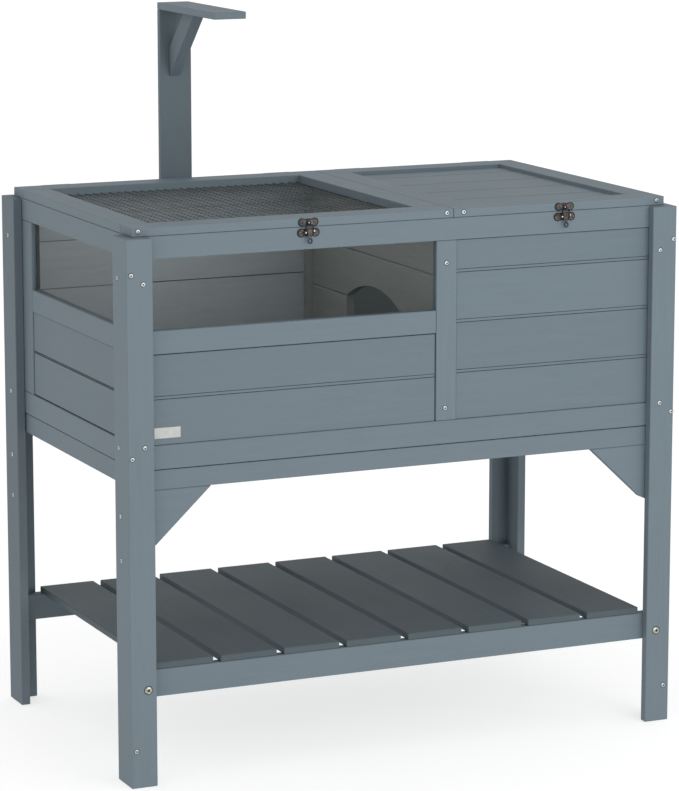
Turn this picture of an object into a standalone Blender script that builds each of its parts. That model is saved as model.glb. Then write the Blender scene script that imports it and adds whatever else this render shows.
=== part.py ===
"""Raised small-animal house on a stand, with two hinged lids and a lamp post.

Painted softwood boards on four L-section corner legs. Left bay: glazed run under
a wire-mesh lid. Right bay: planked den under a solid lid. Slatted shelf below.
Metres, +Z up. Origin: centre of the footprint, on the floor. Front is -Y.
"""
import math

import bmesh
import bpy
from mathutils import Matrix, Vector

# ---------------------------------------------------------------- dimensions
GAP = 0.0003                  # clearance between pieces that touch

WIDTH, DEPTH = 1.000, 0.6096  # over the legs
LEG_H = 0.9037
LEG_T = 0.0157                # leg board thickness
LEG_FRONT, LEG_SIDE = 0.045, 0.0625

HX, HY = WIDTH / 2, DEPTH / 2
BX, BY = HX - LEG_T - GAP, HY - LEG_T - GAP   # outer faces of the box
RAIL_T = 0.015
IX, IY = BX - RAIL_T, BY - RAIL_T             # inner faces of the rails

TOP_RAIL = (0.8678, 0.9047)
SILL_RAIL = (0.7130, 0.7512)
BOTTOM_RAIL = (0.5244, 0.5640)
APRON = (0.4907, 0.5241)
SIDE_BOTTOM_RAIL = (0.5275, 0.5665)
SIDE_APRON = (0.4925, 0.5272)
APRON_RECESS, APRON_T = 0.0014, 0.020
STILE_X = (0.0546, 0.0920)
REAR_STILE_Y = (0.1970, IY - GAP)

PLANK_RECESS, PLANK_T = 0.0020, 0.0110
VEE_W, VEE_D = 0.0058, 0.0030
FRONT_LEFT_VEE = (0.6415,)
FRONT_RIGHT_VEES = (0.8153, 0.7307, 0.6455)
SIDE_LEFT_VEE = (0.6437,)
BACK_VEES = (0.8200, 0.7358, 0.6516, 0.5674)

PANE_T, PANE_RECESS = 0.003, 0.0045
GUSSET_T = 0.012

FLOOR = (0.5278, 0.5368)
PARTITION_X = (0.0731, 0.0881)
PARTITION_VEES = (0.8010, 0.7163, 0.6316)
DOOR_HALF, DOOR_R, DOOR_Z = 0.113, 0.2242, 0.5242
CLEAT_W, CLEAT_D = 0.0115, 0.012

LID_Z = (0.9051, 0.9197)
LID_Y = (-0.2885, 0.2845)
LID_SPLIT, LID_X = 0.0856, 0.4838
LEFT_HOLE = ((-0.4358, 0.0353), (-0.2384, 0.2350))
RIGHT_HOLE = ((0.1357, 0.4358), (-0.2390, 0.2350))
MESH_Z = (0.9058, 0.9063)
PANEL_Z = (0.9056, 0.9128)
PANEL_VEES = (0.1755, 0.0700, -0.0355, -0.1410)

PIVOT_Y, PIVOT_Z = 0.2912, 0.9165             # lid hinge axis
HINGE_L, KNUCKLE_R, PIN_R, BORE_R = 0.050, 0.0026, 0.0013, 0.0014
LEFT_HINGES_X = (-0.4050, 0.0150)
RIGHT_HINGES_X = (0.1550, 0.4150)

LATCH_X = (-0.1777, 0.2920)
LATCH_BASE_Z = 0.8953
LEVER_Z, LEVER_OUT = 0.9000, 0.0052
BAIL_Z, BAIL_OUT, BAIL_TOP_Z, BAIL_TOP_OUT = 0.8915, 0.0060, 0.9105, 0.0056
BAIL_HALF, WIRE_R = 0.0062, 0.0008

SHELF_Z = (0.1925, 0.2037)
SLAT_W, SLAT_PITCH, SLAT_X0 = 0.1003, 0.1136, -0.4492
SLAT_Y = (-0.2886, 0.2804)
SHELF_RAIL_Z = (0.1465, 0.1921)
SHELF_RAIL_T = 0.018

POST_X = (-0.2075, -0.1485)
POST_Y = (BY + 0.0009, BY + 0.0129)
POST_Z = (0.500, 1.2172)
ARM_Y = (0.0372, POST_Y[1])
ARM_Z = (1.2175, 1.2297)
BRACE_X = (-0.1903, -0.1703)
BRACE_POST_Z = (1.1000, 1.1510)
BRACE_ARM_Y = (0.2191, 0.1692)

BEVEL = 0.0010

# ---------------------------------------------------------------- start clean
for old in list(bpy.data.objects):
    bpy.data.objects.remove(old, do_unlink=True)

scene = bpy.context.scene
parts = bpy.data.collections.new("raised_animal_house")
cutters = bpy.data.collections.new("cutters")
scene.collection.children.link(parts)
scene.collection.children.link(cutters)


def paint(name, rgb, rough=0.55, metal=0.0, alpha=1.0):
    m = bpy.data.materials.new(name)
    m.use_nodes = True
    b = m.node_tree.nodes["Principled BSDF"]
    b.inputs["Base Color"].default_value = (*rgb, 1.0)
    b.inputs["Roughness"].default_value = rough
    b.inputs["Metallic"].default_value = metal
    b.inputs["Alpha"].default_value = alpha
    return m


BLUE = (0.185, 0.235, 0.265)
SHADE = (0.120, 0.150, 0.165)
INNER = (0.190, 0.185, 0.165)
BRONZE = (0.075, 0.062, 0.050)
ZINC = (0.55, 0.54, 0.50)


def finish(obj, colour=BLUE, rough=0.55, metal=0.0, bevel=BEVEL, parent=None, alpha=1.0):
    """Material, edge bevel and collection of one part."""
    obj.data.materials.clear()
    obj.data.materials.append(paint("mat_" + obj.name, colour, rough, metal, alpha))
    if bevel:
        b = obj.modifiers.new("edges", "BEVEL")
        b.width, b.segments = bevel, 1
        b.limit_method, b.angle_limit = "ANGLE", math.radians(50)
    if parent is not None:
        obj.parent = parent
        obj.matrix_parent_inverse = parent.matrix_world.inverted()
    return obj


def add_mesh(name, bm, location=(0, 0, 0), collection=parts):
    me = bpy.data.meshes.new(name)
    bm.to_mesh(me)
    bm.free()
    ob = bpy.data.objects.new(name, me)
    ob.location = location
    collection.objects.link(ob)
    return ob


def box(name, x, y, z, collection=parts):
    """A board: cube primitive sized to its ranges, origin at its centre."""
    bm = bmesh.new()
    bmesh.ops.create_cube(bm, size=1.0)
    bmesh.ops.scale(bm, vec=(x[1] - x[0], y[1] - y[0], z[1] - z[0]), verts=bm.verts)
    centre = ((x[0] + x[1]) / 2, (y[0] + y[1]) / 2, (z[0] + z[1]) / 2)
    return add_mesh(name, bm, centre, collection)


def prism(name, points, plane, lo, hi, collection=parts):
    """A flat outline (2D curve) extruded between lo and hi along the plane's normal.

    plane "yz": points are (y, z), extruded along X; "xz": (x, z) along Y;
    "xy": (x, y) along Z.
    """
    cu = bpy.data.curves.new(name, "CURVE")
    cu.dimensions, cu.fill_mode = "2D", "BOTH"
    cu.extrude = (hi - lo) / 2
    sp = cu.splines.new("POLY")
    sp.points.add(len(points) - 1)
    for p, (a, b) in zip(sp.points, points):
        p.co = (a, b, 0, 1)
    sp.use_cyclic_u = True
    tmp = bpy.data.objects.new(name + "_outline", cu)
    scene.collection.objects.link(tmp)
    dg = bpy.context.evaluated_depsgraph_get()
    me = bpy.data.meshes.new_from_object(tmp.evaluated_get(dg))
    bpy.data.objects.remove(tmp, do_unlink=True)
    bm = bmesh.new()
    bm.from_mesh(me)
    bpy.data.meshes.remove(me)
    bmesh.ops.remove_doubles(bm, verts=bm.verts, dist=1e-6)
    mid = (lo + hi) / 2
    if plane == "yz":
        mat = Matrix(((0, 0, 1, mid), (1, 0, 0, 0), (0, 1, 0, 0), (0, 0, 0, 1)))
    elif plane == "xz":
        mat = Matrix(((1, 0, 0, 0), (0, 0, -1, mid), (0, 1, 0, 0), (0, 0, 0, 1)))
    else:
        mat = Matrix.Translation((0, 0, mid))
    bmesh.ops.transform(bm, matrix=mat, verts=bm.verts)
    bmesh.ops.recalc_face_normals(bm, faces=bm.faces)
    return add_mesh(name, bm, (0, 0, 0), collection)


def rod(name, centre, radius, length, sides=24, collection=parts):
    """A round bar along X."""
    bm = bmesh.new()
    bmesh.ops.create_cone(bm, cap_ends=True, segments=sides, radius1=radius,
                          radius2=radius, depth=length)
    bmesh.ops.rotate(bm, cent=(0, 0, 0), matrix=Matrix.Rotation(math.pi / 2, 3, "Y"),
                     verts=bm.verts)
    return add_mesh(name, bm, centre, collection)


def boolean(obj, other, operation):
    m = obj.modifiers.new(operation.lower(), "BOOLEAN")
    m.operation, m.solver, m.object = operation, "EXACT", other
    other.hide_render = True
    other.display_type = "WIRE"


def fused(obj):
    """Apply an object's modifiers, so that the mesh itself holds the shape."""
    dg = bpy.context.evaluated_depsgraph_get()
    dg.update()
    me = bpy.data.meshes.new_from_object(obj.evaluated_get(dg))
    obj.modifiers.clear()
    obj.data = me
    return obj


def planks(name, along, span, out, thick, z, vees, sign, inner_vees=True):
    """Tongue-and-groove planking, glued into one panel, with V joints.

    along "x": the boards run along X over span, the outer face is at y = out;
    along "y": they run along Y, the outer face is at x = out. sign points from
    the outer face inwards.
    """
    inner = out + sign * thick
    pts = [(out, z[0])]
    for v in sorted(vees):
        pts += [(out, v - VEE_W / 2), (out + sign * VEE_D, v), (out, v + VEE_W / 2)]
    pts += [(out, z[1]), (inner, z[1])]
    if inner_vees:
        for v in sorted(vees, reverse=True):
            pts += [(inner, v + VEE_W / 2), (inner - sign * VEE_D, v), (inner, v - VEE_W / 2)]
    pts += [(inner, z[0])]
    return prism(name, pts, "yz" if along == "x" else "xz", span[0], span[1])


# ---------------------------------------------------------------- legs
def leg(name, sx, sy):
    ox, oy = sx * HX, sy * HY
    pts = [(ox, oy), (ox - sx * LEG_FRONT, oy),
           (ox - sx * LEG_FRONT, oy - sy * LEG_T), (ox - sx * LEG_T, oy - sy * LEG_T),
           (ox - sx * LEG_T, oy - sy * LEG_SIDE), (ox, oy - sy * LEG_SIDE)]
    return finish(prism(name, pts, "xy", 0.0, LEG_H))


leg("leg_front_left", -1, -1)
leg("leg_front_right", 1, -1)
leg("leg_rear_left", -1, 1)
leg("leg_rear_right", 1, 1)

# ---------------------------------------------------------------- front wall
front = (-BY, -IY)
full = (-BX, BX)
left_bay = (-BX, STILE_X[0] - GAP)
right_bay = (STILE_X[1] + GAP, BX)
between_rails = (BOTTOM_RAIL[1] + GAP, TOP_RAIL[0] - GAP)
finish(box("front_top_rail", full, front, TOP_RAIL))
finish(box("front_bottom_rail", full, front, BOTTOM_RAIL))
finish(box("front_centre_stile", STILE_X, front, between_rails))
finish(box("front_sill_rail", left_bay, front, SILL_RAIL))
apron_y = (-BY + APRON_RECESS, -BY + APRON_RECESS + APRON_T)
finish(box("front_apron", full, apron_y, APRON))
finish(planks("front_left_planks", "x", left_bay, -BY + PLANK_RECESS, PLANK_T,
              (BOTTOM_RAIL[1] + GAP, SILL_RAIL[0] - GAP), FRONT_LEFT_VEE, 1), bevel=0)
finish(planks("front_right_planks", "x", right_bay, -BY + PLANK_RECESS, PLANK_T,
              between_rails, FRONT_RIGHT_VEES, 1), bevel=0)
pane_y = (-BY + PANE_RECESS, -BY + PANE_RECESS + PANE_T)
finish(box("front_window_pane", left_bay, pane_y, (SILL_RAIL[1] + GAP, TOP_RAIL[0] - GAP)),
       (0.80, 0.85, 0.86), 0.05, 0.0, bevel=0, alpha=0.15)

# corner gussets under the apron, ends cut blunt against the legs
for side, s in (("left", -1), ("right", 1)):
    g = [(s * 0.3500, APRON[0] - GAP), (s * BX, APRON[0] - GAP), (s * BX, 0.3955),
         (s * 0.4566, 0.3955), (s * 0.4467, 0.4000)]
    finish(prism("gusset_" + side, g, "xz", apron_y[0], apron_y[0] + GUSSET_T))

# ---------------------------------------------------------------- left wall
left = (-BX, -IX)
side_y = (-IY + GAP, IY - GAP)
left_open = (-IY + GAP, REAR_STILE_Y[0] - GAP)
side_between = (SIDE_BOTTOM_RAIL[1] + GAP, TOP_RAIL[0] - GAP)
finish(box("left_top_rail", left, side_y, TOP_RAIL))
finish(box("left_rear_stile", left, REAR_STILE_Y, side_between))
finish(box("left_sill_rail", left, left_open, SILL_RAIL))
finish(box("left_bottom_rail", left, side_y, SIDE_BOTTOM_RAIL))
apron_x = (-BX + APRON_RECESS, -BX + APRON_RECESS + APRON_T)
finish(box("left_apron", apron_x, (apron_y[1] + GAP, BY - PLANK_RECESS - PLANK_T - GAP),
           SIDE_APRON))
finish(planks("left_planks", "y", left_open, -BX + PLANK_RECESS, PLANK_T,
              (SIDE_BOTTOM_RAIL[1] + GAP, SILL_RAIL[0] - GAP), SIDE_LEFT_VEE, 1), bevel=0)
pane_x = (-BX + PANE_RECESS, -BX + PANE_RECESS + PANE_T)
finish(box("left_window_pane", pane_x, left_open, (SILL_RAIL[1] + GAP, TOP_RAIL[0] - GAP)),
       (0.80, 0.85, 0.86), 0.05, 0.0, bevel=0, alpha=0.15)

# ---------------------------------------------------------------- right and back walls
finish(box("right_top_rail", (IX, BX), side_y, TOP_RAIL))
finish(planks("right_planks", "y", (apron_y[1] + GAP, BY - PLANK_RECESS - PLANK_T - GAP),
              BX - PLANK_RECESS, PLANK_T, (APRON[0], TOP_RAIL[0] - GAP), BACK_VEES, -1), bevel=0)
finish(box("back_top_rail", full, (IY, BY), TOP_RAIL))
finish(planks("back_planks", "x", full, BY - PLANK_RECESS, PLANK_T,
              (APRON[0], TOP_RAIL[0] - GAP), BACK_VEES, -1), bevel=0)

# ---------------------------------------------------------------- floor and partition
finish(box("floor_board", (-IX + GAP, IX - GAP), (-IY + GAP, IY - GAP), FLOOR), SHADE)

px0, px1 = PARTITION_X
yy = (-IY + GAP, IY - GAP)
outline = [(yy[0], FLOOR[1] + GAP)]
steps = 14
arc_a = math.asin(DOOR_HALF / DOOR_R)
outline += [(-DOOR_HALF, FLOOR[1] + GAP)]
for i in range(steps + 1):
    a = -arc_a + 2 * arc_a * i / steps
    outline.append((DOOR_R * math.sin(a), DOOR_Z + DOOR_R * math.cos(a)))
outline += [(DOOR_HALF, FLOOR[1] + GAP), (yy[1], FLOOR[1] + GAP),
            (yy[1], TOP_RAIL[1]), (yy[0], TOP_RAIL[1])]
part = prism("partition", outline, "yz", px0, px1)
cleat = box("partition_cleat_form", (px0 - CLEAT_W, px0 + 0.004),
            (yy[1] - CLEAT_D, yy[1]), (FLOOR[1] + GAP, TOP_RAIL[1]), cutters)
boolean(part, cleat, "UNION")
for i, v in enumerate(PARTITION_VEES):
    for j, face in enumerate(PARTITION_X):
        s = 1 if j == 0 else -1
        lo, hi = yy[0] - 0.01, yy[1] + 0.01
        if j == 0:
            hi = yy[1] - CLEAT_D - 0.0005
        vee = prism(f"partition_vee_{i}_{j}",
                    [(face - s * 0.001, v - VEE_W / 2 - 0.001),
                     (face + s * VEE_D, v), (face - s * 0.001, v + VEE_W / 2 + 0.001)],
                    "xz", lo, hi, cutters)
        boolean(part, vee, "DIFFERENCE")
finish(part, INNER, bevel=0)

# ---------------------------------------------------------------- pivots
def pivot(name, location):
    e = bpy.data.objects.new(name, None)
    e.empty_display_size = 0.03
    e.location = location
    parts.objects.link(e)
    bpy.context.view_layer.update()
    return e


left_axis = pivot("left_lid_axis", (0, PIVOT_Y, PIVOT_Z))
right_axis = pivot("right_lid_axis", (0, PIVOT_Y, PIVOT_Z))

# ---------------------------------------------------------------- lids
def frame(name, x, hole, parent):
    ob = box(name, x, LID_Y, LID_Z)
    edges = ob.modifiers.new("edges", "BEVEL")
    edges.width, edges.segments = BEVEL, 1
    cut = box(name + "_hole", hole[0], hole[1], (LID_Z[0] - 0.01, LID_Z[1] + 0.01), cutters)
    boolean(ob, cut, "DIFFERENCE")
    return finish(ob, bevel=0, parent=parent)


frame("left_lid_frame", (-LID_X, LID_SPLIT - GAP), LEFT_HOLE, left_axis)
frame("right_lid_frame", (LID_SPLIT + GAP, LID_X), RIGHT_HOLE, right_axis)


def inset(hole):
    return ((hole[0][0] + GAP, hole[0][1] - GAP), (hole[1][0] + GAP, hole[1][1] - GAP))


mx, my = inset(LEFT_HOLE)
finish(box("left_lid_mesh", mx, my, MESH_Z), (0.18, 0.19, 0.19), 0.4, 0.9, bevel=0,
       parent=left_axis)

rx, ry = inset(RIGHT_HOLE)
pts = [(ry[0], PANEL_Z[0]), (ry[1], PANEL_Z[0]), (ry[1], PANEL_Z[1])]
for v in PANEL_VEES:
    pts += [(v + VEE_W / 2, PANEL_Z[1]), (v, PANEL_Z[1] - VEE_D), (v - VEE_W / 2, PANEL_Z[1])]
pts += [(ry[0], PANEL_Z[1])]
finish(prism("right_lid_panel", pts, "yz", rx[0], rx[1]), bevel=0, parent=right_axis)

# ---------------------------------------------------------------- lid hinges
def hinge_leaf(name, x, on_lid, parent=None):
    """One leaf with its knuckles. The wall leaf carries the pin."""
    mid = HINGE_L / 2
    if on_lid:
        ob = rod(name, (x, PIVOT_Y, PIVOT_Z), KNUCKLE_R, 0.0174)
        plate = box(name + "_plate", (x - mid, x + mid), (LID_Y[1] + GAP, LID_Y[1] + 0.0013),
                    (PIVOT_Z - 0.0105, PIVOT_Z + 0.0006), cutters)
        web = box(name + "_web", (x - 0.0086, x + 0.0086), (LID_Y[1] + 0.0010, PIVOT_Y - 0.0018),
                  (PIVOT_Z - 0.0006, PIVOT_Z + 0.0006), cutters)
        boolean(ob, web, "UNION")
        boolean(ob, plate, "UNION")
        bore = rod(name + "_bore", (x, PIVOT_Y, PIVOT_Z), BORE_R, 0.03, collection=cutters)
        boolean(ob, bore, "DIFFERENCE")
    else:
        ob = rod(name, (x, PIVOT_Y, PIVOT_Z), PIN_R, HINGE_L - 0.002)
        for k, s in enumerate((-1, 1)):
            kn = rod(f"{name}_knuckle_{k}", (x + s * 0.0170, PIVOT_Y, PIVOT_Z), KNUCKLE_R,
                     0.0160, collection=cutters)
            boolean(ob, kn, "UNION")
            up = box(f"{name}_upper_{k}", (x + s * 0.0170 - 0.0078, x + s * 0.0170 + 0.0078),
                     (BY + GAP, BY + 0.0013), (PIVOT_Z - 0.010, PIVOT_Z), cutters)
            boolean(ob, up, "UNION")
        plate = box(name + "_plate", (x - mid, x + mid), (BY + GAP, BY + 0.0013),
                    (PIVOT_Z - 0.040, PIVOT_Z - 0.0045), cutters)
        boolean(ob, plate, "UNION")
    return finish(ob, ZINC, 0.35, 0.9, bevel=0, parent=parent)


for lid, xs, axis in (("left", LEFT_HINGES_X, left_axis), ("right", RIGHT_HINGES_X, right_axis)):
    for n, x in enumerate(xs, 1):
        hinge_leaf(f"{lid}_hinge_{n}_lid_leaf", x, True, axis)
        hinge_leaf(f"{lid}_hinge_{n}_wall_leaf", x, False)

# ---------------------------------------------------------------- latches
def slot_outline(cx, cz, w, h, r, n=6):
    pts = []
    for qx, qz, a0 in ((1, 1, 0), (-1, 1, 90), (-1, -1, 180), (1, -1, 270)):
        for i in range(n + 1):
            a = math.radians(a0 + 90 * i / n)
            pts.append((cx + qx * (w / 2 - r) + r * math.cos(a),
                        cz + qz * (h / 2 - r) + r * math.sin(a)))
    return pts


def latch(side, x, lid_axis):
    face = -BY
    lid_face = LID_Y[0]
    # keeper: plate on the lid's edge with an upturned hook
    cz = (LID_Z[0] + LID_Z[1]) / 2
    keeper = prism(f"{side}_latch_keeper", slot_outline(x, cz, 0.036, 0.0136, 0.0045),
                   "xz", lid_face - GAP - 0.0012, lid_face - GAP)
    hook = prism(f"{side}_latch_hook_form",
                 [(lid_face - 0.0008, 0.9068), (lid_face - 0.0008, 0.9086),
                  (lid_face - 0.0030, 0.9086), (lid_face - 0.0032, 0.9112),
                  (lid_face - 0.0042, 0.9112), (lid_face - 0.0042, 0.9074),
                  (lid_face - 0.0036, 0.9068)],
                 "yz", x - 0.0035, x + 0.0035, cutters)
    boolean(keeper, hook, "UNION")
    finish(keeper, BRONZE, 0.42, 0.85, bevel=0, parent=lid_axis)
    # base: plate on the rail with two ears and a pin
    base = prism(f"{side}_latch_base", slot_outline(x, LATCH_BASE_Z, 0.040, 0.0150, 0.0070),
                 "xz", face - GAP - 0.0012, face - GAP)
    for k, s in enumerate((-1, 1)):
        ear = box(f"{side}_latch_ear_{k}", (x + s * 0.0045 - 0.0005, x + s * 0.0045 + 0.0005),
                  (face - 0.0072, face - 0.0008), (LEVER_Z - 0.0020, LEVER_Z + 0.0020), cutters)
        boolean(base, ear, "UNION")
    pin = rod(f"{side}_latch_pin_form", (x, face - LEVER_OUT, LEVER_Z), 0.0009, 0.0092,
              16, cutters)
    boolean(base, pin, "UNION")
    finish(base, BRONZE, 0.42, 0.85, bevel=0)
    # lever: knuckle on the pin, blade, second knuckle for the bail, lifted tip
    lever_axis = pivot(f"{side}_latch_lever_axis", (x, face - LEVER_OUT, LEVER_Z))
    lever = rod(f"{side}_latch_lever", (x, face - LEVER_OUT, LEVER_Z), 0.0020, 0.0074)
    o = face
    blade = prism(f"{side}_latch_blade_form",
                  [(o - 0.0044, LEVER_Z), (o - 0.0060, LEVER_Z), (o - 0.0062, 0.8840),
                   (o - 0.0072, 0.8790), (o - 0.0092, 0.8760), (o - 0.0080, 0.8752),
                   (o - 0.0060, 0.8780), (o - 0.0048, 0.8835)],
                  "yz", x - 0.0037, x + 0.0037, cutters)
    boolean(lever, blade, "UNION")
    second = rod(f"{side}_latch_second_form", (x, face - BAIL_OUT, BAIL_Z), 0.0018, 0.0074,
                 24, cutters)
    boolean(lever, second, "UNION")
    for tag, yo, zz, r in (("pin_bore", LEVER_OUT, LEVER_Z, 0.00100),
                           ("bail_bore", BAIL_OUT, BAIL_Z, WIRE_R + 0.0001)):
        cut = rod(f"{side}_latch_{tag}", (x, face - yo, zz), r, 0.03, 16, cutters)
        boolean(lever, cut, "DIFFERENCE")
    finish(lever, BRONZE, 0.42, 0.85, bevel=0, parent=lever_axis)
    # bail: closed wire loop through the second knuckle
    bail_axis = pivot(f"{side}_latch_bail_axis", (x, face - BAIL_OUT, BAIL_Z))
    bail_axis.parent = lever_axis
    bail_axis.matrix_parent_inverse = lever_axis.matrix_world.inverted()
    bpy.context.view_layer.update()
    cu = bpy.data.curves.new(f"{side}_latch_bail", "CURVE")
    cu.dimensions = "3D"
    cu.bevel_depth, cu.bevel_resolution = WIRE_R, 2
    cu.use_fill_caps = True
    corner = 0.0016
    y0, y1 = face - BAIL_OUT, face - BAIL_TOP_OUT

    def at(xx, t):
        return (x + xx, y0 + (y1 - y0) * t, BAIL_Z + (BAIL_TOP_Z - BAIL_Z) * t)

    tc = corner / (BAIL_TOP_Z - BAIL_Z)
    loop = []
    for cxs, ts, a0 in ((1, 1, 0), (-1, 1, 90), (-1, 0, 180), (1, 0, 270)):
        for i in range(4):
            a = math.radians(a0 + 90 * i / 3)
            ccx = cxs * (BAIL_HALF - corner)
            cct = 1 - tc if ts else tc
            loop.append(at(ccx + corner * math.cos(a), cct + tc * math.sin(a)))
    sp = cu.splines.new("POLY")
    sp.points.add(len(loop) - 1)
    for p, co in zip(sp.points, loop):
        p.co = (*co, 1)
    sp.use_cyclic_u = True
    bail = bpy.data.objects.new(f"{side}_latch_bail", cu)
    parts.objects.link(bail)
    finish(bail, BRONZE, 0.35, 0.9, bevel=0, parent=bail_axis)


latch("left", LATCH_X[0], left_axis)
latch("right", LATCH_X[1], right_axis)

# ---------------------------------------------------------------- shelf
rail_x = (-HX + LEG_T + GAP, HX - LEG_T - GAP)
finish(box("shelf_front_rail", rail_x, (-BY, -BY + SHELF_RAIL_T), SHELF_RAIL_Z))
finish(box("shelf_rear_rail", rail_x, (BY - SHELF_RAIL_T, BY), SHELF_RAIL_Z))
for i in range(8):
    x0 = SLAT_X0 + i * SLAT_PITCH
    finish(box(f"shelf_slat_{i + 1}", (x0, x0 + SLAT_W), SLAT_Y,
               (SHELF_RAIL_Z[1] + GAP, SHELF_Z[1])), SHADE)

# ---------------------------------------------------------------- lamp post
finish(box("lamp_post", POST_X, POST_Y, POST_Z))
finish(box("lamp_arm", POST_X, ARM_Y, ARM_Z))
p = POST_Y[0] - GAP
u = POST_Z[1]
finish(prism("lamp_brace", [(p, BRACE_POST_Z[0]), (p, BRACE_POST_Z[1]),
                            (BRACE_ARM_Y[0], u), (BRACE_ARM_Y[1], u)],
             "yz", BRACE_X[0], BRACE_X[1]))
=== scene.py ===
import math
import bpy
import bmesh
from mathutils import Matrix, Vector


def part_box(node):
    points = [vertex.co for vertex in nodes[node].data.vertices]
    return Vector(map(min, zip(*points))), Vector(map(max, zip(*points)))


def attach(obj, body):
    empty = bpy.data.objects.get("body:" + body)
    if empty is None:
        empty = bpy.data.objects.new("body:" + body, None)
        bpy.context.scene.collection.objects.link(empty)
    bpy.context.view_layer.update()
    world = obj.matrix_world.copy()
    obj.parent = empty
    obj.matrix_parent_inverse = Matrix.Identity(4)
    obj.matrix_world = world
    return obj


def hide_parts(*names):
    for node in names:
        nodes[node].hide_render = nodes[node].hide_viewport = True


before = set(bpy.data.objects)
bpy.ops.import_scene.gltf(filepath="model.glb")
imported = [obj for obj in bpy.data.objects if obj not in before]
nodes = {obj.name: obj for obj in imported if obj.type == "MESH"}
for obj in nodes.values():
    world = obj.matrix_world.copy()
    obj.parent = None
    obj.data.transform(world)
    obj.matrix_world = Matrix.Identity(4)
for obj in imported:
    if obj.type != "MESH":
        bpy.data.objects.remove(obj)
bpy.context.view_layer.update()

# ------------------------------------------------------------------ plan sizes (metres, CAD frame)
HX, HY = 0.5, 0.3048
BX, BY = 0.4840, 0.2888
LEG_T = 0.0157
LEG_FRONT_W, LEG_SIDE_W = 0.045, 0.0625
SPLIT = 0.0856
LATCH_X = (-0.1777, 0.2920)
LATCH_BASE_Z = 0.8953
LEVER_Z, LEVER_OUT = 0.9000, 0.0052
BAIL_Z, BAIL_OUT, BAIL_TOP_Z, BAIL_TOP_OUT = 0.8915, 0.0060, 0.9105, 0.0056
BAIL_HALF = 0.0062
HINGE_Y, HINGE_Z = 0.2912, 0.9165


# ------------------------------------------------------------------ camera
cam_data = bpy.data.cameras.new("camera")
cam = bpy.data.objects.new("camera", cam_data)
bpy.context.scene.collection.objects.link(cam)
cam.location = (-2.3967, -5.3320, 1.6689)
cam.rotation_euler = (math.radians(90 - 10.7201), 0.0, math.radians(-24.2779))
cam_data.lens = 155.71
cam_data.sensor_width = 36.0
cam_data.sensor_fit = "AUTO"
cam_data.clip_start = 0.05
cam_data.clip_end = 400.0
bpy.context.scene.camera = cam
bpy.context.scene.view_settings.view_transform = "Standard"
bpy.context.scene.view_settings.look = "None"


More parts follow.
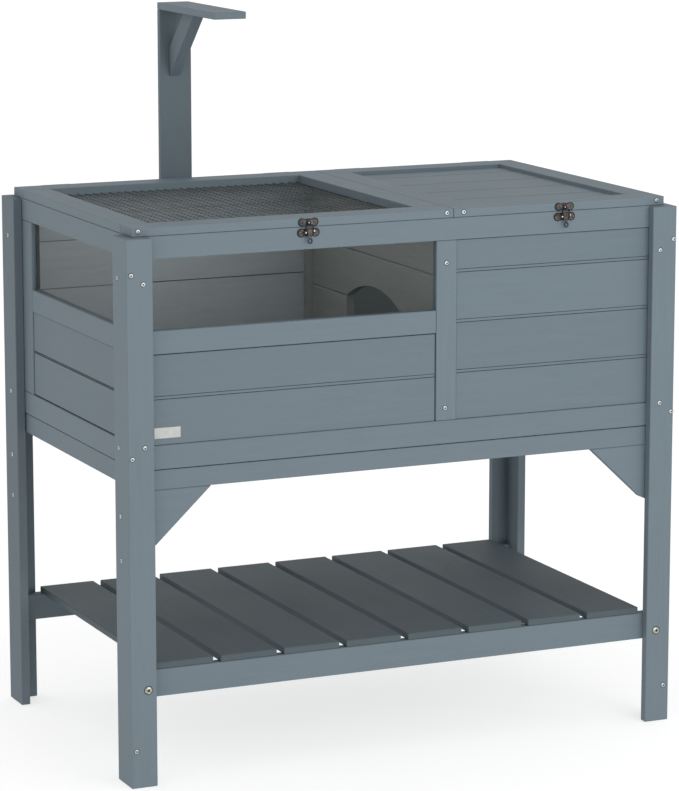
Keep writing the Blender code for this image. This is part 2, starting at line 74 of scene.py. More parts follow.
# ------------------------------------------------------------------ material tools
class Nodes:
    """A small helper that keeps node building short."""

    def __init__(self, name):
        self.mat = bpy.data.materials.new(name)
        self.mat.use_nodes = True
        self.t = self.mat.node_tree
        self.t.nodes.clear()
        self.out = self.t.nodes.new("ShaderNodeOutputMaterial")
        self.bsdf = self.t.nodes.new("ShaderNodeBsdfPrincipled")
        self.link(self.bsdf.outputs["BSDF"], self.out.inputs["Surface"])
        self.coord = self.t.nodes.new("ShaderNodeTexCoord")

    def link(self, a, b):
        self.t.links.new(a, b)

    def mapping(self, scale, loc=(0, 0, 0), rot=(0, 0, 0), src=None):
        m = self.t.nodes.new("ShaderNodeMapping")
        m.inputs["Scale"].default_value = scale
        m.inputs["Location"].default_value = loc
        m.inputs["Rotation"].default_value = rot
        self.link(src or self.coord.outputs["Object"], m.inputs["Vector"])
        return m.outputs["Vector"]

    def noise(self, vec, scale, detail=3.0, rough=0.5, distort=0.0):
        n = self.t.nodes.new("ShaderNodeTexNoise")
        n.inputs["Scale"].default_value = scale
        n.inputs["Detail"].default_value = detail
        n.inputs["Roughness"].default_value = rough
        n.inputs["Distortion"].default_value = distort
        self.link(vec, n.inputs["Vector"])
        return n.outputs["Fac"]

    def wave(self, vec, scale, distortion, detail, direction="X", profile="SIN"):
        n = self.t.nodes.new("ShaderNodeTexWave")
        n.wave_type = "BANDS"
        n.bands_direction = direction
        n.wave_profile = profile
        n.inputs["Scale"].default_value = scale
        n.inputs["Distortion"].default_value = distortion
        n.inputs["Detail"].default_value = detail
        self.link(vec, n.inputs["Vector"])
        return n.outputs["Fac"]

    def voronoi(self, vec, scale, feature="F1", randomness=1.0):
        n = self.t.nodes.new("ShaderNodeTexVoronoi")
        n.feature = feature
        n.inputs["Scale"].default_value = scale
        n.inputs["Randomness"].default_value = randomness
        self.link(vec, n.inputs["Vector"])
        return n.outputs["Distance"]

    def ramp(self, fac, stops):
        n = self.t.nodes.new("ShaderNodeValToRGB")
        els = n.color_ramp.elements
        while len(els) > 1:
            els.remove(els[-1])
        for i, (p, c) in enumerate(stops):
            e = els[0] if i == 0 else els.new(p)
            e.position = p
            e.color = (c, c, c, 1) if isinstance(c, (int, float)) else (*c, 1)
        self.link(fac, n.inputs["Fac"])
        return n.outputs["Color"]

    def remap(self, fac, a, b, c, d):
        n = self.t.nodes.new("ShaderNodeMapRange")
        n.inputs["From Min"].default_value = a
        n.inputs["From Max"].default_value = b
        n.inputs["To Min"].default_value = c
        n.inputs["To Max"].default_value = d
        self.link(fac, n.inputs["Value"])
        return n.outputs["Result"]

    def math(self, op, a, b=None, c=None, clamp=False):
        n = self.t.nodes.new("ShaderNodeMath")
        n.operation = op
        n.use_clamp = clamp
        for i, v in enumerate((a, b, c)):
            if v is None:
                continue
            if isinstance(v, (int, float)):
                n.inputs[i].default_value = v
            else:
                self.link(v, n.inputs[i])
        return n.outputs[0]

    def mix(self, fac, a, b, mode="MIX"):
        n = self.t.nodes.new("ShaderNodeMix")
        n.data_type = "RGBA"
        n.blend_type = mode
        n.clamp_factor = True
        for key, v in (("Factor", fac), ("A", a), ("B", b)):
            sock = [s for s in n.inputs if s.name == key and s.enabled][0]
            if isinstance(v, (int, float)):
                sock.default_value = v
            elif isinstance(v, tuple):
                sock.default_value = (*v, 1)
            else:
                self.link(v, sock)
        return [s for s in n.outputs if s.enabled][0]

    def bump(self, height, strength, distance, normal=None):
        n = self.t.nodes.new("ShaderNodeBump")
        n.inputs["Strength"].default_value = strength
        n.inputs["Distance"].default_value = distance
        self.link(height, n.inputs["Height"])
        if normal is not None:
            self.link(normal, n.inputs["Normal"])
        return n.outputs["Normal"]

    def sep(self, vec=None):
        n = self.t.nodes.new("ShaderNodeSeparateXYZ")
        self.link(vec or self.coord.outputs["Object"], n.inputs[0])
        return n.outputs

    def set(self, **kw):
        names = {"base": "Base Color", "rough": "Roughness", "metal": "Metallic",
                 "normal": "Normal", "spec": "Specular IOR Level", "coat": "Coat Weight",
                 "coat_rough": "Coat Roughness", "ior": "IOR", "trans": "Transmission Weight",
                 "alpha": "Alpha", "sheen": "Sheen Weight"}
        for k, v in kw.items():
            s = self.bsdf.inputs[names[k]]
            if isinstance(v, (int, float)):
                s.default_value = v
            elif isinstance(v, tuple):
                s.default_value = (*v, 1)
            else:
                self.link(v, s)
        return self.mat


def srgb(r, g, b):
    def f(c):
        c /= 255.0
        return c / 12.92 if c <= 0.04045 else ((c + 0.055) / 1.055) ** 2.4
    return (f(r), f(g), f(b))


def scaled(c, k):
    return tuple(min(1.0, x * k) for x in c)


ACROSS = {"X": (1.0, 12.0, 12.0), "Y": (12.0, 1.0, 12.0), "Z": (12.0, 12.0, 1.0)}


def painted(name, axis, base, rough=0.60, streak=0.035, seed=0.0, wear=1.0, bump=1.0, spec=0.24):
    """Brush-painted softwood: grain and brush marks run along the axis given."""
    n = Nodes(name)
    s = ACROSS[axis]
    off = (seed * 0.37, seed * 0.71, seed * 0.53)
    v = n.mapping(s, off)
    grain = n.noise(v, 9.0, 5.0, 0.6, 0.7)
    fine = n.noise(v, 70.0, 4.0, 0.7, 0.2)
    brush = n.noise(n.mapping(tuple(k * 3.0 for k in s), off), 60.0, 2.0, 0.5)
    # knots: a few soft spots that show through the paint, stretched along the board
    kv = n.mapping(tuple(0.32 * k if k > 1 else 0.9 for k in s), (off[0] + 3.1, off[1], off[2]))
    knot = n.voronoi(kv, 1.9)
    knot_mask = n.remap(knot, 0.03, 0.085, 1.0, 0.0)
    patch = n.noise(n.mapping((1, 1, 1), off), 4.0, 3.0, 0.55)
    light = scaled(base, 1.0 + streak)
    dark = scaled(base, 1.0 - streak)
    col = n.mix(n.remap(grain, 0.36, 0.64, 0.0, 1.0), dark, light)
    col = n.mix(n.remap(fine, 0.46, 0.66, 0.0, 0.42), col, scaled(base, 0.90))
    col = n.mix(n.remap(patch, 0.42, 0.66, 0.0, 0.5), col,
                scaled((base[0] * 1.03, base[1] * 1.01, base[2] * 0.985), 1.035))
    col = n.mix(n.math("MULTIPLY", knot_mask, 0.10 * wear), col,
                scaled((base[0] * 1.03, base[1], base[2] * 0.96), 0.72))
    rr = n.math("ADD", n.remap(grain, 0.3, 0.7, rough - 0.04, rough + 0.05),
                n.remap(patch, 0.3, 0.7, -0.04, 0.05))
    h = n.math("ADD", n.math("MULTIPLY", grain, 0.35), n.math("MULTIPLY", fine, 0.35))
    h = n.math("ADD", h, n.math("MULTIPLY", brush, 0.25))
    h = n.math("SUBTRACT", h, n.math("MULTIPLY", knot_mask, 0.2))
    nrm = n.bump(h, 0.30 * bump, 0.0006)
    return n.set(base=col, rough=rr, spec=spec, normal=nrm)


PAINT = srgb(104, 117, 125)
# wall boards a touch darker than the rails: painted shade of their recess
PLANK_PAINTED_SHADE = srgb(101, 114, 122)
# shelf slats much darker than the paint: painted shade under the box
SHELF_PAINTED_SHADE = srgb(76, 87, 92)
INSIDE = srgb(150, 153, 151)
paint = {a: painted(f"paint_{a}", a, PAINT, seed=i * 1.7) for i, a in enumerate("XYZ")}
paint2 = {a: painted(f"paint2_{a}", a, scaled(PAINT, 0.975), seed=5 + i * 1.3) for i, a in enumerate("XYZ")}
plank_paint_shaded = {a: [painted(f"plank{k}_{a}", a, scaled(PLANK_PAINTED_SHADE, q), seed=31 + i * 1.9 + k * 4.1)
             for k, q in enumerate((1.0, 0.98, 1.015))] for i, a in enumerate("XY")}
# darker copies of the paint for the parts further back and under the box: painted shade
painted_shade_mid = {a: painted(f"painted_shade_mid_{a}", a, scaled(PAINT, 0.87), seed=45 + i * 1.3) for i, a in enumerate("XYZ")}
painted_shade = {a: painted(f"shade_{a}", a, scaled(PAINT, 0.80), seed=41 + i * 1.3) for i, a in enumerate("XYZ")}
paint_top = {a: painted(f"paint_top_{a}", a, PAINT, seed=9 + i * 1.9) for i, a in enumerate("XYZ")}
shelf_painted_shade_mat = [painted(f"shelf{k}_Y", "Y", scaled(SHELF_PAINTED_SHADE, q), rough=0.62, streak=0.05, seed=14 + k * 2.3)
             for k, q in enumerate((1.0, 0.95, 1.04))]
INSIDE_LIGHT = srgb(172, 179, 183)
inside_light = {a: painted(f"inside_light_{a}", a, INSIDE_LIGHT, rough=0.7, streak=0.05, seed=25 + i * 1.1, spec=0.2)
                for i, a in enumerate("XYZ")}
inside = {a: painted(f"inside_{a}", a, INSIDE, rough=0.7, streak=0.05, seed=21 + i * 1.1, spec=0.2)
          for i, a in enumerate("XYZ")}


def metal(name, base, dark, rough, worn, scale=900.0, metallic=1.0, seed=0.0, bump=0.25):
    n = Nodes(name)
    v = n.mapping((1, 1, 1), (seed, seed * 0.5, seed * 0.2))
    a = n.noise(v, scale, 4.0, 0.6)
    b = n.noise(v, scale * 0.22, 3.0, 0.6, 0.6)
    col = n.mix(n.remap(b, 0.38, 0.62, 0.0, 1.0), dark, base)
    col = n.mix(n.remap(a, 0.56, 0.70, 0.0, 0.75), col, worn)
    rr = n.remap(b, 0.3, 0.7, rough - 0.08, rough + 0.14)
    return n.set(base=col, rough=rr, metal=metallic, normal=n.bump(a, bump, 0.00012))


bronze = metal("bronze", srgb(98, 91, 88), srgb(56, 52, 51), 0.46, srgb(140, 132, 124), 620.0, 0.85)
bronze_light = metal("bronze_light", srgb(122, 114, 108), srgb(74, 68, 64), 0.42, srgb(160, 152, 142), 800.0, 0.85, 1.0)
# dark bronze: the tone of the hook and bail, and painted shade in the plate screws' recess and ring
bronze_dark_and_painted_shade = metal("bronze_dark_and_painted_shade", srgb(42, 44, 46), srgb(22, 24, 26), 0.46, srgb(80, 80, 78), 700.0, 0.8, 3.0)
bronze_blue = metal("bronze_blue", srgb(58, 68, 78), srgb(36, 42, 50), 0.46, srgb(92, 100, 108), 700.0, 0.8, 5.0)
zinc = metal("zinc", srgb(206, 211, 212), srgb(156, 160, 161), 0.32, srgb(228, 231, 231), 1100.0, 1.0, 2.0)
hinge_zinc = metal("hinge_zinc", srgb(168, 173, 175), srgb(136, 141, 144), 0.42, srgb(186, 190, 191), 340.0, 0.8, 8.0, 0.06)
brass_zinc = metal("bolt_zinc", srgb(202, 200, 188), srgb(150, 147, 134), 0.32, srgb(226, 224, 214), 1100.0, 1.0, 4.0)
# near-white metal for pins and rivets: partly painted highlight for their glints
pin_metal_painted_glint = metal("pin_metal_painted_glint", srgb(236, 234, 228), srgb(196, 192, 184), 0.34, srgb(246, 245, 240), 1000.0, 0.55, 6.0)
# dark metal for the cross recess and well: painted shade in the hollow
recess = metal("screw_recess_painted_shade", srgb(74, 80, 82), srgb(46, 50, 52), 0.55, srgb(104, 110, 111), 1300.0, 0.5, 7.0)


def countersink_painted_shade_material():
    """Dark mottled paint in a ring round each screw head: painted shade of the countersink's shadow gap."""
    n = Nodes("countersink")
    a = n.noise(n.mapping((1, 1, 1)), 700.0, 4.0, 0.6)
    b = n.noise(n.mapping((1, 1, 1)), 160.0, 2.0, 0.5)
    col = n.mix(n.remap(a, 0.42, 0.62, 0.0, 1.0), srgb(56, 63, 67), srgb(80, 90, 96))
    col = n.mix(n.remap(b, 0.55, 0.7, 0.0, 0.6), col, srgb(96, 92, 84))
    return n.set(base=col, rough=n.remap(b, 0.3, 0.7, 0.6, 0.8), spec=0.2, normal=n.bump(a, 0.3, 0.0002))


# the dark ring material round the screw heads is painted shade
sink = countersink_painted_shade_material()
screw_set = (zinc, recess, sink)
bolt_set = (brass_zinc, recess, sink)
# the plate screws' recess and edge ring take the dark bronze: painted shade
plate_set = (bronze_light, bronze_dark_and_painted_shade, bronze_dark_and_painted_shade)


def wire_material():
    n = Nodes("wire")
    v = n.mapping((1, 1, 1))
    a = n.noise(v, 420.0, 4.0, 0.6)
    b = n.noise(v, 18.0, 3.0, 0.5)
    col = n.mix(n.remap(b, 0.36, 0.64, 0.0, 1.0), srgb(72, 80, 84), srgb(92, 101, 105))
    col = n.mix(n.remap(a, 0.56, 0.74, 0.0, 0.5), col, srgb(104, 106, 104))
    rr = n.remap(a, 0.3, 0.7, 0.38, 0.58)
    return n.set(base=col, rough=rr, metal=0.75, normal=n.bump(a, 0.2, 0.0001))


wire = wire_material()


def acrylic_material():
    """Clear sheet: the inside shows through, under a weak reflection, faint smears and a haze."""
    n = Nodes("acrylic")
    t = n.t
    trans = t.nodes.new("ShaderNodeBsdfTransparent")
    trans.inputs["Color"].default_value = (0.965, 0.975, 0.972, 1)
    smear = n.noise(n.mapping((1.0, 1.0, 3.2)), 9.0, 5.0, 0.6, 0.8)
    n.set(base=srgb(70, 75, 75), rough=n.remap(smear, 0.3, 0.7, 0.04, 0.10), spec=0.35)
    fres = t.nodes.new("ShaderNodeFresnel")
    fres.inputs["IOR"].default_value = 1.30
    fac = n.math("ADD", n.math("MULTIPLY", fres.outputs[0], 0.28),
                 n.remap(smear, 0.35, 0.75, 0.0, 0.012), clamp=True)
    m = t.nodes.new("ShaderNodeMixShader")
    n.link(fac, m.inputs[0])
    n.link(trans.outputs[0], m.inputs[1])
    n.link(n.bsdf.outputs[0], m.inputs[2])
    n.link(m.outputs[0], n.out.inputs["Surface"])
    return n.mat


acrylic = acrylic_material()


def label_material():
    n = Nodes("label")
    v = n.mapping((1, 1, 1))
    a = n.noise(v, 260.0, 3.0, 0.5)
    b = n.noise(v, 60.0, 2.0, 0.5)
    col = n.mix(n.remap(a, 0.4, 0.7, 0.0, 0.4), srgb(186, 188, 185), srgb(168, 169, 166))
    col = n.mix(n.remap(b, 0.5, 0.7, 0.0, 0.3), col, srgb(158, 157, 152))
    return n.set(base=col, rough=n.remap(b, 0.3, 0.7, 0.5, 0.65), spec=0.4,
                 normal=n.bump(a, 0.15, 0.0001))


label_mat = label_material()


# ------------------------------------------------------------------ mesh tools
def new_object(name, mesh, mat, smooth=False):
    ob = bpy.data.objects.new(name, mesh)
    bpy.context.scene.collection.objects.link(ob)
    if mat is not None:
        mesh.materials.append(mat)
    if smooth:
        for p in mesh.polygons:
            p.use_smooth = True
    return ob


def add_box(bm, x, y, z):
    r = bmesh.ops.create_cube(bm, size=1.0)
    m = Matrix.Translation(((x[0] + x[1]) / 2, (y[0] + y[1]) / 2, (z[0] + z[1]) / 2)) @ \
        Matrix.Diagonal((x[1] - x[0], y[1] - y[0], z[1] - z[0], 1.0))
    bmesh.ops.transform(bm, matrix=m, verts=r["verts"])
    return r["verts"]


def bevel_mod(ob, width, segments=2, angle=35.0):
    m = ob.modifiers.new("edge", "BEVEL")
    m.width = width
    m.segments = segments
    m.limit_method = "ANGLE"
    m.angle_limit = math.radians(angle)
    m.harden_normals = False
    return m


def board(name, x, y, z, mat, body, bevel=0.0011, replaces=None, segments=2):
    """A sawn board with eased edges."""
    me = bpy.data.meshes.new(name)
    bm = bmesh.new()
    add_box(bm, x, y, z)
    bm.to_mesh(me)
    bm.free()
    ob = new_object(name, me, mat)
    bevel_mod(ob, bevel, segments)
    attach(ob, body)
    if replaces:
        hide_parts(*replaces)
    return ob


# ------------------------------------------------------------------ CAD nodes that stay: materials
def assign(name, mat):
    ob = nodes[name]
    me_slots = ob.material_slots
    if len(me_slots) == 0:
        ob.data.materials.append(mat)
    for s in ob.material_slots:
        s.material = mat


ALONG = {
    "X": ("front_top_rail", "front_bottom_rail", "front_sill_rail", "front_apron",
          "back_top_rail", "shelf_front_rail", "shelf_rear_rail"),
    "Y": ("left_top_rail", "left_sill_rail", "left_bottom_rail", "left_apron",
          "right_top_rail", "lamp_arm"),
    "Z": ("leg_front_left", "leg_front_right", "leg_rear_left", "leg_rear_right",
          "front_centre_stile", "left_rear_stile", "lamp_post", "lamp_brace"),
}
for axis, names in ALONG.items():
    for i, name in enumerate(names):
        assign(name, (paint if i % 2 == 0 else paint2)[axis])
# the rear legs, lamp post, shelf rear rail and brace take the darker copies: painted shade
for name in ("lamp_post", "leg_rear_right", "leg_rear_left"):
    assign(name, painted_shade["Z"])
assign("shelf_rear_rail", painted_shade["X"])
assign("lamp_brace", painted_shade_mid["Z"])
assign("gusset_left", paint["X"])
assign("gusset_right", paint["X"])
assign("floor_board", inside["X"])
assign("partition", inside["Y"])
for i in range(8):
    assign(f"shelf_slat_{i + 1}", shelf_painted_shade_mat[i % 3])
assign("front_window_pane", acrylic)
assign("left_window_pane", acrylic)
for name in nodes:
    if "hinge" in name:
        assign(name, hinge_zinc)
    elif "latch" in name:
        assign(name, bronze)
assign("right_lid_panel", paint_top["X"])

RAIL_IN = {"front_top_rail": (paint, "X", (0, 1, 0)), "back_top_rail": (paint, "X", (0, -1, 0)),
           "left_top_rail": (paint, "Y", (1, 0, 0)), "right_top_rail": (paint2, "Y", (-1, 0, 0))}
for name, (mats, axis, inward) in RAIL_IN.items():
    lo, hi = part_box(name)
    ob = board(f"{name}_board", (lo[0], hi[0]), (lo[1], hi[1]), (lo[2], hi[2]), mats[axis], "house",
               bevel=0.0010, replaces=(name,))
    ob.data.materials.append(inside_light[axis])
    for p in ob.data.polygons:
        if p.normal.dot(Vector(inward)) > 0.9:
            p.material_index = 1


# ------------------------------------------------------------------ tongue-and-groove walls
def extrude_profile(bm, pts, u0, u1, place, mats):
    """A closed outline (depth, z) swept along u; faces turned inwards take the second material."""
    lo = [bm.verts.new(place(u0, d, z)) for d, z in pts]
    hi = [bm.verts.new(place(u1, d, z)) for d, z in pts]
    n = len(pts)
    top = max(d for d, z in pts)
    for i in range(n):
        j = (i + 1) % n
        f = bm.faces.new((lo[i], lo[j], hi[j], hi[i]))
        f.material_index = mats[1] if pts[i][0] > top - 1e-6 and pts[j][0] > top - 1e-6 else mats[0]
    for ring in (lo, list(reversed(hi))):
        bm.faces.new(ring).material_index = mats[0]


def wall(name, node, facing, joints, gaps=(0.0011, 0.0002, 0.0003, 0.0003), inner=None, slit=0.0004, half=0.00265):
    """Boards with a shallow lapped channel between them. gaps: top, bottom, low end, high end."""
    lo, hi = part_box(node)
    if facing[1] == "Y":
        u0, u1, t = lo.x, hi.x, hi.y - lo.y
        sgn, face = (1, lo.y) if facing == "-Y" else (-1, hi.y)
        place = lambda u, d, z: (u, face + sgn * d, z)
        axis = "X"
    else:
        u0, u1, t = lo.y, hi.y, hi.x - lo.x
        sgn, face = (1, lo.x) if facing == "-X" else (-1, hi.x)
        place = lambda u, d, z: (face + sgn * d, u, z)
        axis = "Y"
    u0 += gaps[2]
    u1 -= gaps[3]
    sl, dp, lip, c = slit, 0.0034, 0.0004, 0.00035
    levels = [lo.z + gaps[1]] + sorted(joints) + [hi.z - gaps[0]]
    bm = bmesh.new()
    for k in range(len(levels) - 1):
        pts = []
        below = levels[k] if k > 0 else None
        above = levels[k + 1] if k < len(levels) - 2 else None
        if below is None:
            pts += [(t, levels[0]), (c, levels[0]), (0.0, levels[0] + c)]
        else:
            g, zt = below, below - half - sl
            pts += [(t, zt + 0.0018), (0.0083, zt + 0.0018), (0.0083, g + 0.0012), (0.0047, g + 0.0012),
                    (0.0047, g - half + sl), (lip + c, g - half + sl), (lip, g - half + sl + c),
                    (lip, g + half - sl - c), (lip + c, g + half - sl), (dp, g + half - sl),
                    (dp, g + half + sl), (c, g + half + sl), (0.0, g + half + sl + c)]
        if above is None:
            z = levels[k + 1]
            pts += [(0.0, z - c), (c, z), (t, z)]
        else:
            g = above
            zt = g - half - sl
            pts += [(0.0, zt - c), (c, zt), (0.0050, zt), (0.0050, g + 0.0008), (0.0080, g + 0.0008),
                    (0.0080, zt), (t, zt)]
        extrude_profile(bm, pts, u0, u1, place, (k % 3, 3))
    bmesh.ops.recalc_face_normals(bm, faces=bm.faces)
    me = bpy.data.meshes.new(name)
    bm.to_mesh(me)
    bm.free()
    ob = new_object(name, me, None)
    for m in plank_paint_shaded[axis] + [(inner or inside)[axis]]:
        me.materials.append(m)
    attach(ob, "house")
    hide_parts(node)
    return ob


def reveal_shadow_strip_material():
    n = Nodes("reveal_painted_shadow")
    a = n.noise(n.mapping((1, 1, 1)), 900.0, 3.0, 0.6)
    b = n.noise(n.mapping((1, 1, 1)), 90.0, 2.0, 0.5)
    col = n.mix(n.remap(a, 0.38, 0.62, 0.0, 1.0), srgb(44, 48, 50), srgb(62, 67, 70))
    return n.set(base=col, rough=n.remap(b, 0.3, 0.7, 0.8, 0.92), spec=0.15, normal=n.bump(a, 0.5, 0.0004))


reveal_shadow_strip_mat = reveal_shadow_strip_material()
# a dark strip behind the left pane's rear edge: painted shadow of the stile's reveal
plo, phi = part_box("left_window_pane")
board("left_reveal_painted_shadow", (phi[0] + 0.0004, -BX + 0.0146), (phi[1] - 0.0014, phi[1] - 0.0002),
      (plo[2] + 0.0006, phi[2] - 0.0006), reveal_shadow_strip_mat, "house", bevel=0.0003)

wall("front_left_boards", "front_left_planks", "-Y", [0.6415], (0.0012, 0.0002, 0.0003, 0.0016))
wall("front_right_boards", "front_right_planks", "-Y", [0.8153, 0.7307, 0.6455], (0.0006, 0.0002, 0.0004, 0.0006))
wall("left_boards", "left_planks", "-X", [0.6432], (0.0004, 0.0018, 0.0003, 0.0016), slit=0.0008, half=0.0014)
wall("right_boards", "right_planks", "+X", [0.8200, 0.7358, 0.6516, 0.5674], (0.0006, 0.0, 0.0003, 0.0003))
wall("back_boards", "back_planks", "+Y", [0.8238, 0.7396, 0.6500, 0.5674], (0.0006, 0.0, 0.0003, 0.0003), inside_light)


def trimmed(name, node, axis, top):
    """The same board with a little less height, so that the joint above it reads as a dark line."""
    lo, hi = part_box(node)
    board(name, (lo.x, hi.x), (lo.y, hi.y), (lo.z, hi.z - top), paint2[axis], "house", replaces=(node,))


trimmed("front_apron_board", "front_apron", "X", 0.0010)
trimmed("left_apron_board", "left_apron", "Y", 0.0010)


# ------------------------------------------------------------------ lids: four boards each
def lid_frame(side, body, x, hole_x, hole_y):
    y = (-0.2885, 0.2845)
    z = (0.9051, 0.9197)
    g = 0.00012
    group = [
        board(f"{side}_lid_front_member", x, (y[0], hole_y[0]), z, paint_top["X"], body),
        board(f"{side}_lid_rear_member", x, (hole_y[1], y[1]), z, paint_top["X"], body),
        board(f"{side}_lid_left_member", (x[0], hole_x[0]), (hole_y[0] + g, hole_y[1] - g), z,
              paint_top["Y"], body),
        board(f"{side}_lid_right_member", (hole_x[1], x[1]), (hole_y[0] + g, hole_y[1] - g), z,
              paint_top["Y"], body),
    ]
    for ob in group:
        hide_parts(f"{side}_lid_frame")


lid_frame("left", "left_lid", (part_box("left_lid_frame")[0][0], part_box("left_lid_frame")[1][0]),
          (-0.4358, 0.0353), (-0.2384, 0.2350))
lid_frame("right", "right_lid", (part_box("right_lid_frame")[0][0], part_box("right_lid_frame")[1][0]),
          (0.1357, 0.4358), (-0.2390, 0.2350))


# ------------------------------------------------------------------ wire mesh of the left lid
def tube(bm, pts, r, sides=5, up=Vector((0, 0, 1))):
    """A round wire through the points, closed at both ends."""
    rings = []
    n = len(pts)
    for i, p in enumerate(pts):
        p = Vector(p)
        a = Vector(pts[max(i - 1, 0)])
        b = Vector(pts[min(i + 1, n - 1)])
        t = (b - a).normalized()
        u = t.cross(up)
        if u.length < 1e-6:
            u = t.cross(Vector((1, 0, 0)))
        u.normalize()
        w = u.cross(t).normalized()
        rings.append([bm.verts.new(p + r * (math.cos(2 * math.pi * k / sides) * u +
                                            math.sin(2 * math.pi * k / sides) * w))
                      for k in range(sides)])
    for i in range(n - 1):
        for k in range(sides):
            bm.faces.new((rings[i][k], rings[i][(k + 1) % sides],
                          rings[i + 1][(k + 1) % sides], rings[i + 1][k]))
    bm.faces.new(list(reversed(rings[0])))
    bm.faces.new(rings[-1])


def wire_mesh():
    """Welded mesh: wires along X with the wires along Y lying on them."""
    x0, x1, y0, y1 = -0.4356, 0.0351, -0.2382, 0.2348
    pitch, r, rx = 0.0148, 0.00068, 0.00044
    z_low = 0.9058 + rx
    z_high = z_low + 0.95 * (r + rx)
    bm = bmesh.new()
    nx, ny = int((x1 - x0) / pitch), int((y1 - y0) / pitch)
    mx, my = (x1 - x0 - nx * pitch) / 2, (y1 - y0 - ny * pitch) / 2
    for i in range(nx + 1):
        x = x0 + mx + i * pitch
        pts = []
        for j in range(25):
            y = y0 + (y1 - y0) * j / 24
            pts.append((x + 0.0003 * math.sin(1.7 * i + 0.55 * j), y,
                        z_high + 0.00018 * math.sin(0.9 * i + 0.8 * j)))
        tube(bm, pts, r, 8)
    for j in range(ny + 1):
        y = y0 + my + j * pitch
        pts = []
        for i in range(25):
            x = x0 + (x1 - x0) * i / 24
            pts.append((x, y + 0.0003 * math.sin(2.3 * j + 0.6 * i),
                        z_low + 0.00018 * math.sin(1.3 * j + 0.7 * i)))
        tube(bm, pts, rx, 8)
    bmesh.ops.recalc_face_normals(bm, faces=bm.faces)
    me = bpy.data.meshes.new("lid_wire_mesh")
    bm.to_mesh(me)
    bm.free()
    ob = new_object("lid_wire_mesh", me, wire, smooth=True)
    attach(ob, "left_lid")
    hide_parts("left_lid_mesh")


wire_mesh()


